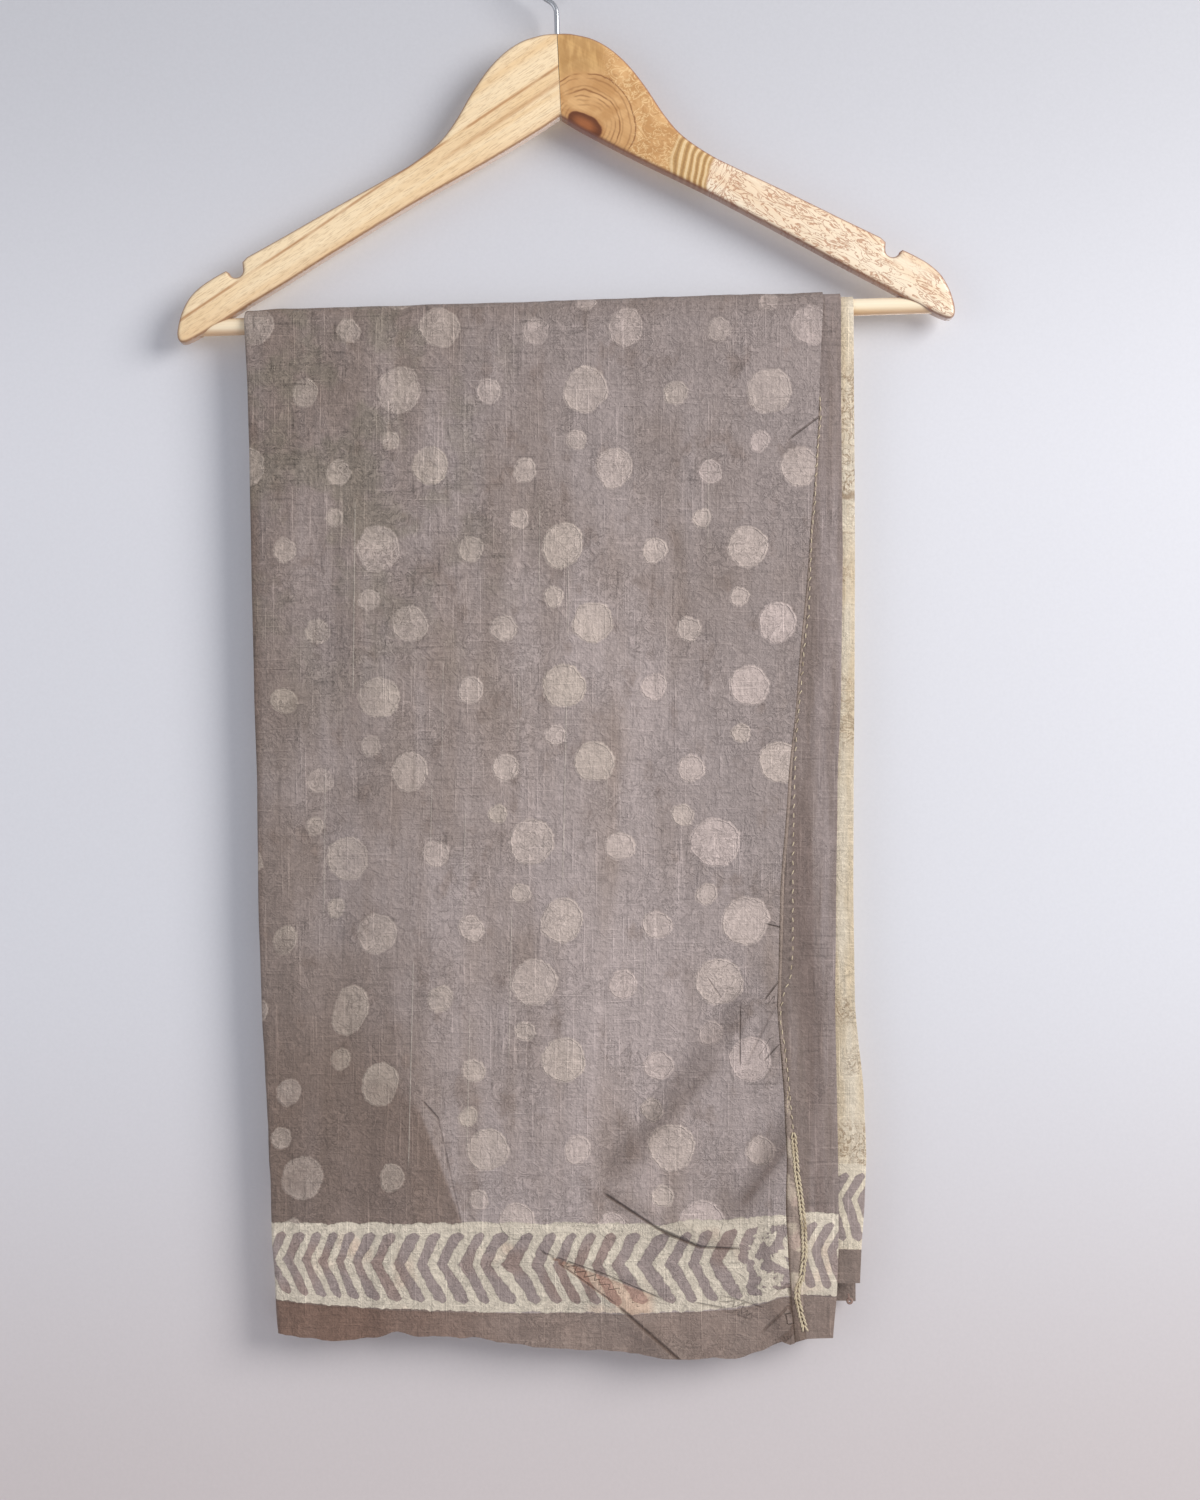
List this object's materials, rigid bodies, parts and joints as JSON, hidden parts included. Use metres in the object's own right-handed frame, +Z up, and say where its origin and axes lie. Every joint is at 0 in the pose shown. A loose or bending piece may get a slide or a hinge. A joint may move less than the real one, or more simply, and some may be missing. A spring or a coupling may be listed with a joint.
{
  "type": "folded saree draped over a wooden clothes hanger",
  "caption": "Block-printed saree folded lengthwise and draped over the trouser bar of a flat wooden hanger with a steel wire hook.",
  "frame": {"origin": "the top of the inside of the hook, where a rail carries it", "axes": "+Z up, -Y towards the front of the cloth, +X to the viewer's right"},
  "size_m": [0.4442, 0.0195, 0.8164],
  "materials": {
    "printed_cloth": "fine light silk-cotton weave, taupe grey with paler irregular dots and a cream chevron border",
    "inner_cloth": "the same weave, plain taupe, layered at its edge",
    "cream_cloth": "the same weave, faded cream with a chevron border",
    "hem_cloth": "narrow turned hem with cream stitching",
    "arm_wood": "lacquered pale hardwood, straight grain at the left and a ring swirl at the right",
    "bar_wood": "smooth pale dowel",
    "hook_steel": "bright drawn wire"
  },
  "bodies": {
    "root": {"saree_outer": "printed_cloth", "saree_inner_folds": "inner_cloth", "saree_pallu": "cream_cloth", "saree_end_hem": "hem_cloth", "hanger_arm_left": "arm_wood", "hanger_arm_right": "arm_wood", "hanger_bar": "bar_wood", "hanger_hook": "hook_steel"}
  },
  "joints": []
}
